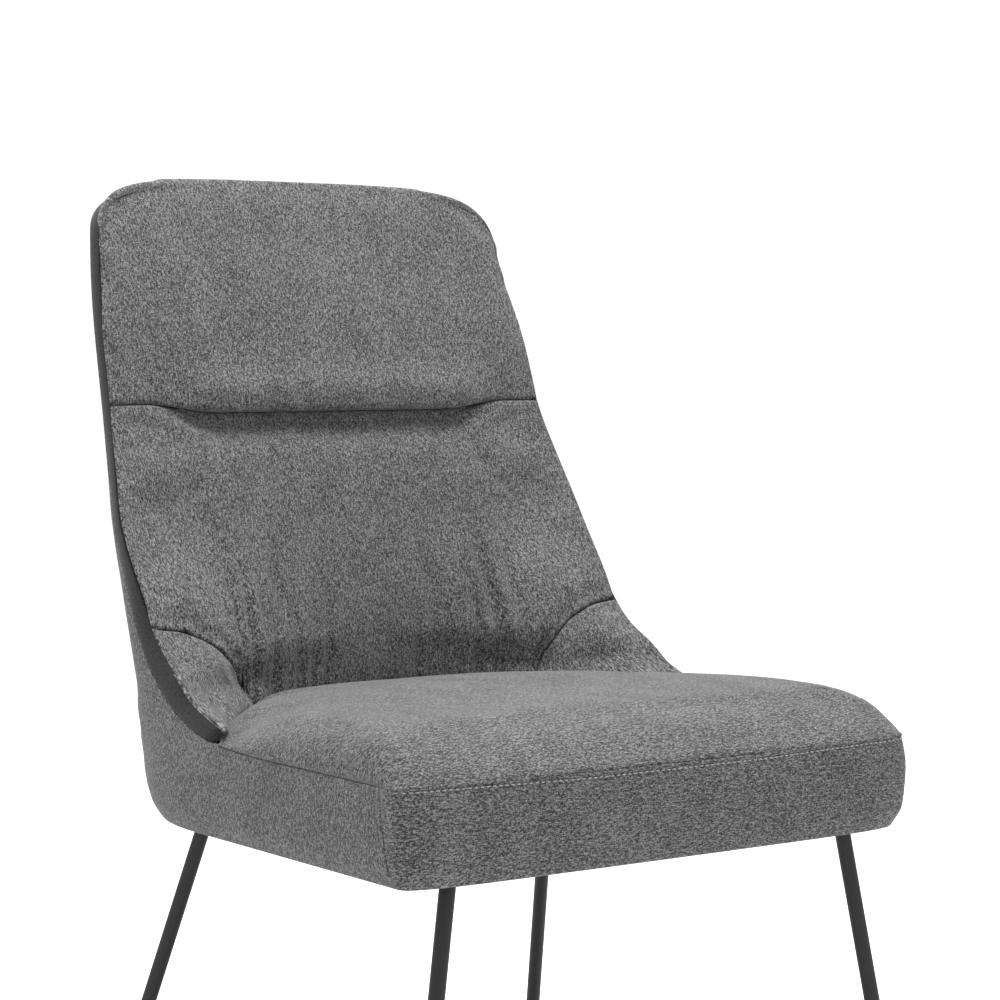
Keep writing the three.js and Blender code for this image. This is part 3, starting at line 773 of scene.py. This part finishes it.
# Cloth turned under the body, between the panels' lower edges and the dust cover
def under_loop(inset):
    """Outline of the body's underside, a distance inside its edge."""
    points = []
    for k in range(48):
        angle = lerp(-math.pi / 2, math.pi / 2, k / 47)
        x, y = plan_point(angle, 240 - inset, 262, 434 - inset, 4)
        points.append((float(x), float(y)))
    for k in range(30):
        angle = lerp(math.pi / 2, -math.pi / 2, k / 29)
        x, y = plan_point(angle, 240 - inset, 12 + inset * 0.2, -11 + inset, 3.6)
        points.append((float(x), float(y)))
    return points


hem_low, hem_high = 363.2, 365.6
outside, inside = under_loop(5), under_loop(32)
count = len(outside)
hem_verts = ([(x, y, hem_low) for x, y in outside] + [(x, y, hem_low) for x, y in inside]
             + [(x, y, hem_high) for x, y in inside] + [(x, y, hem_high) for x, y in outside])
hem_faces = []
for k in range(count):
    m = (k + 1) % count
    for ring in range(4):
        nxt = (ring + 1) % 4
        hem_faces.append((ring * count + k, ring * count + m, nxt * count + m, nxt * count + k))
under_hem = mesh_object("under_hem", hem_verts, hem_faces, [(v[0], v[1]) for v in hem_verts])
keep(under_hem, cloth, "fabric_grey")

# ---------------------------------------------------------------------------- stitching
def stitches(name, line, lift, length, pitch, radius):
    """Short thread stitches along a line of (point, normal) samples in the build frame."""
    points = np.array([p for p, _ in line])
    outs = np.array([n for _, n in line])
    distance = np.concatenate([[0], np.cumsum(np.linalg.norm(np.diff(points, axis=0), axis=1))])
    verts, faces = [], []
    position = pitch
    while position < distance[-1] - pitch:
        p0 = np.array([np.interp(position, distance, points[:, k]) for k in range(3)])
        p1 = np.array([np.interp(position + length, distance, points[:, k]) for k in range(3)])
        n = np.array([np.interp(position, distance, outs[:, k]) for k in range(3)])
        along = (p1 - p0) / np.linalg.norm(p1 - p0)
        n = n / np.linalg.norm(n)
        across = np.cross(along, n)
        base = len(verts)
        for share, size in ((0, 0.35), (0.2, 1.0), (0.8, 1.0), (1, 0.35)):
            centre = p0 + (p1 - p0) * share + n * (lift if 0 < share < 1 else lift - radius)
            for q in range(6):
                a = q * math.pi / 3
                verts.append(tuple(centre + (across * math.cos(a) + n * math.sin(a)) * radius * size))
        for ring in range(3):
            for q in range(6):
                r = (q + 1) % 6
                faces.append((base + ring * 6 + q, base + ring * 6 + r, base + ring * 6 + 6 + r,
                              base + ring * 6 + 6 + q))
        faces.append(tuple(base + q for q in reversed(range(6))))
        faces.append(tuple(base + 18 + q for q in range(6)))
        position += pitch
    uv = [(v[0], v[2]) for v in verts]
    keep(mesh_object(name, verts, faces, uv), thread, "fabric_grey")


def front_line_at(offset):
    """Points and normals along the front boxing, a distance below its seam."""
    line = []
    for t in np.linspace(-0.965, 0.965, 180):
        top = float(front_seam_z(t * FRONT_HALF))
        z = top - offset
        x, y = plan_point(t * math.pi / 2, half_width(z), front_end(z), front_middle(z), front_power(z))
        line.append((np.array([float(x), float(y), z]), np.array([0.35 * t, -1.0, 0.15])))
    return line


stitches("front_stitches_lower", front_line_at(STITCH_DROP), -0.15, length=3.4, pitch=5.4, radius=0.6)

# ---------------------------------------------------------------------------- finishes of CAD nodes
FINISH = [("leg_plate", black_steel), ("_leg_", black_steel), ("screw", zinc), ("bolt", zinc),
          ("glide", plastic), ("shell_spacer", timber), ("rail", timber), ("block", timber),
          ("back_shell", plywood), ("seat_board", plywood), ("dust_cover", lining)]
for node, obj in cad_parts.items():
    chosen = next((m for key, m in FINISH if key in node), foam)
    obj.data.materials.clear()
    obj.data.materials.append(chosen)

# ---------------------------------------------------------------------------- stage, light, camera
floor_mesh = bpy.data.meshes.new("floor")
floor_mesh.from_pydata([(-40, -40, 0), (40, -40, 0), (40, 40, 0), (-40, 40, 0)], [], [(0, 1, 2, 3)])
floor = bpy.data.objects.new("floor", floor_mesh)
bpy.context.scene.collection.objects.link(floor)
floor_material, _, floor_shader = node_material("studio_floor")
floor_shader.inputs["Base Color"].default_value = (0.93, 0.93, 0.93, 1)
floor_shader.inputs["Roughness"].default_value = 0.9
floor.data.materials.append(floor_material)

world = bpy.data.worlds.new("studio")
bpy.context.scene.world = world
world.use_nodes = True
background = world.node_tree.nodes["Background"]
background.inputs["Color"].default_value = (1, 1, 1, 1)
background.inputs["Strength"].default_value = 1.12


def area_light(name, place, target, size, power):
    light = bpy.data.lights.new(name, "AREA")
    light.shape = "RECTANGLE"
    light.size, light.size_y = size
    light.energy = power
    obj = bpy.data.objects.new(name, light)
    obj.location = place
    obj.rotation_euler = (Vector(target) - Vector(place)).to_track_quat("-Z", "Y").to_euler()
    bpy.context.scene.collection.objects.link(obj)


area_light("key", (-0.2, -0.4, 3.0), (0, 0, 0.5), (1.8, 1.2), 26)
area_light("top", (0.1, 0.15, 3.0), (0, 0, 0.5), (1.6, 1.6), 90)

bpy.context.scene.view_settings.view_transform = "Standard"

CAMERA_AT = (-1.3419, -1.6739 + ORIGIN_Y / 1000, 0.7522)  # the photograph's viewpoint
CAMERA_AZIMUTH, CAMERA_PITCH = -35.43, 3.11  # degrees it looks to the right, and down
camera_data = bpy.data.cameras.new("camera")
camera_data.sensor_width = 36
camera_data.lens = 100.98
camera_data.clip_end = 200
camera = bpy.data.objects.new("camera", camera_data)
camera.location = CAMERA_AT
camera.rotation_euler = (math.radians(90 - CAMERA_PITCH), 0, math.radians(CAMERA_AZIMUTH))
bpy.context.scene.collection.objects.link(camera)
bpy.context.scene.camera = camera
